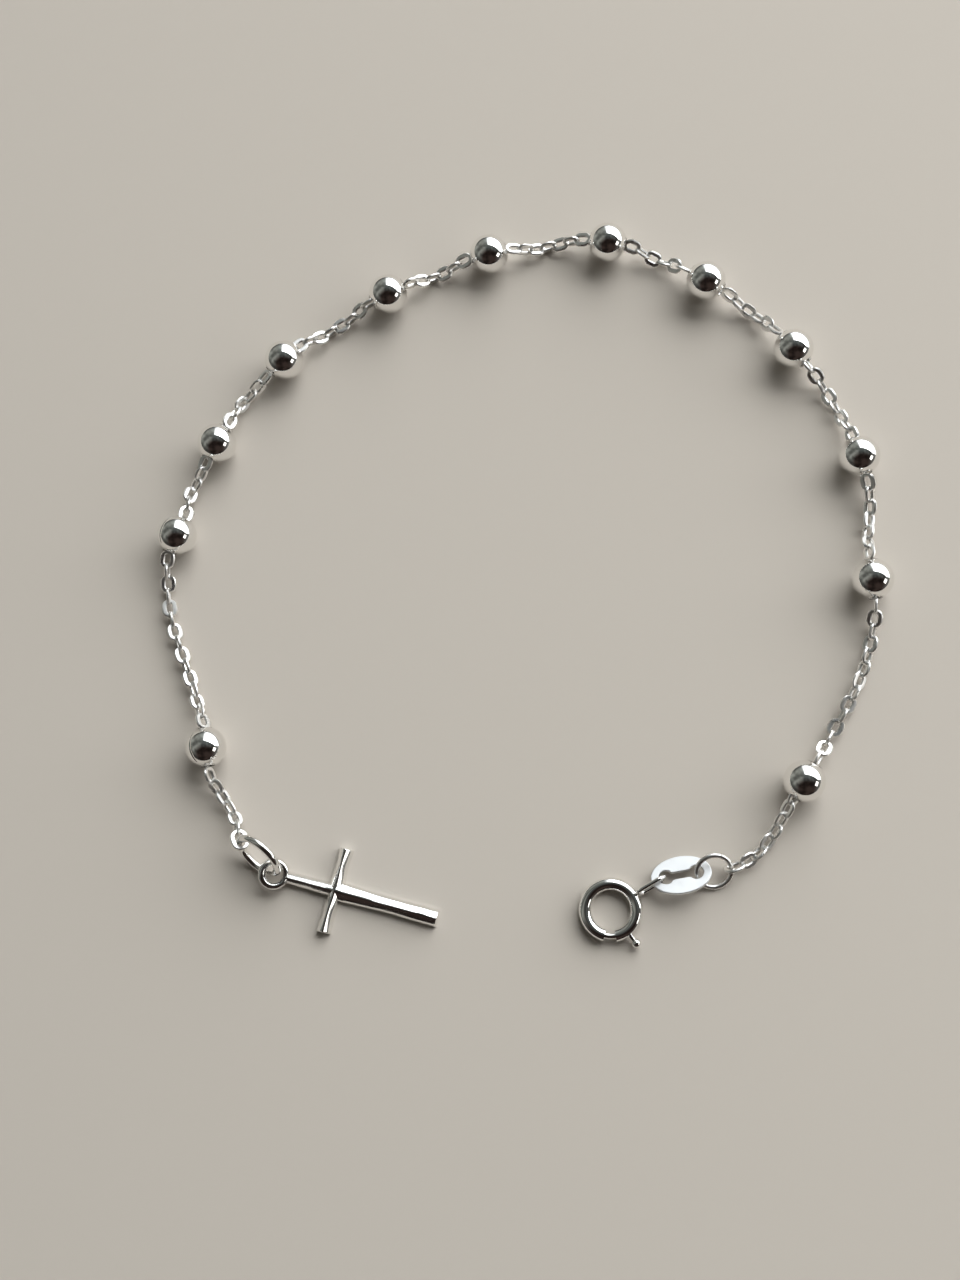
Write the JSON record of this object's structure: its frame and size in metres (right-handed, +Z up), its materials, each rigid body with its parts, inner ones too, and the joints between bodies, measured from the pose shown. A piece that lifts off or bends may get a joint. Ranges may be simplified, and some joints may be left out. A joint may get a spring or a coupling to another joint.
{
  "type": "rosary bracelet",
  "caption": "Fine silver cable-chain bracelet with round beads, a small cross on a jump ring, an oval tag and a spring-ring clasp, lying open in a loop.",
  "frame": {"origin": "on the surface that the bracelet lies on, under the middle of its bounding box", "axes": "+Z up from the surface, +X to the picture's right, +Y away from its lower edge"},
  "size_m": [0.0732, 0.0734, 0.0047],
  "materials": {
    "bead_silver": "mirror-polished silver",
    "chain_silver": "bright silver wire",
    "cast_silver": "polished cast silver",
    "tag_silver": "satin silver sheet",
    "clasp_silver": "polished silver tube"
  },
  "bodies": {
    "bracelet": {"bead_01": "bead_silver", "bead_02": "bead_silver", "bead_03": "bead_silver", "bead_04": "bead_silver", "bead_05": "bead_silver", "bead_06": "bead_silver", "bead_07": "bead_silver", "bead_08": "bead_silver", "bead_09": "bead_silver", "bead_10": "bead_silver", "bead_11": "bead_silver", "bead_12": "bead_silver", "chain_01": "chain_silver", "chain_02": "chain_silver", "chain_03": "chain_silver", "chain_04": "chain_silver", "chain_05": "chain_silver", "chain_06": "chain_silver", "chain_07": "chain_silver", "chain_08": "chain_silver", "chain_09": "chain_silver", "chain_10": "chain_silver", "chain_11": "chain_silver", "chain_12": "chain_silver", "chain_13": "chain_silver", "cross": "cast_silver", "cross_ring": "cast_silver", "end_ring": "chain_silver", "tag": "tag_silver", "clasp_ring": "clasp_silver"},
    "bolt": {"clasp_bolt": "clasp_silver"}
  },
  "joints": [
    {"name": "bolt_slide_round", "type": "hinge", "parent": "bracelet", "child": "bolt", "pos_m": [0.00874, -0.03313, 0.0006], "axis": [0, 0, 1], "range_deg": [0, 29], "stiffness_Nm_per_rad": 0.002}
  ]
}
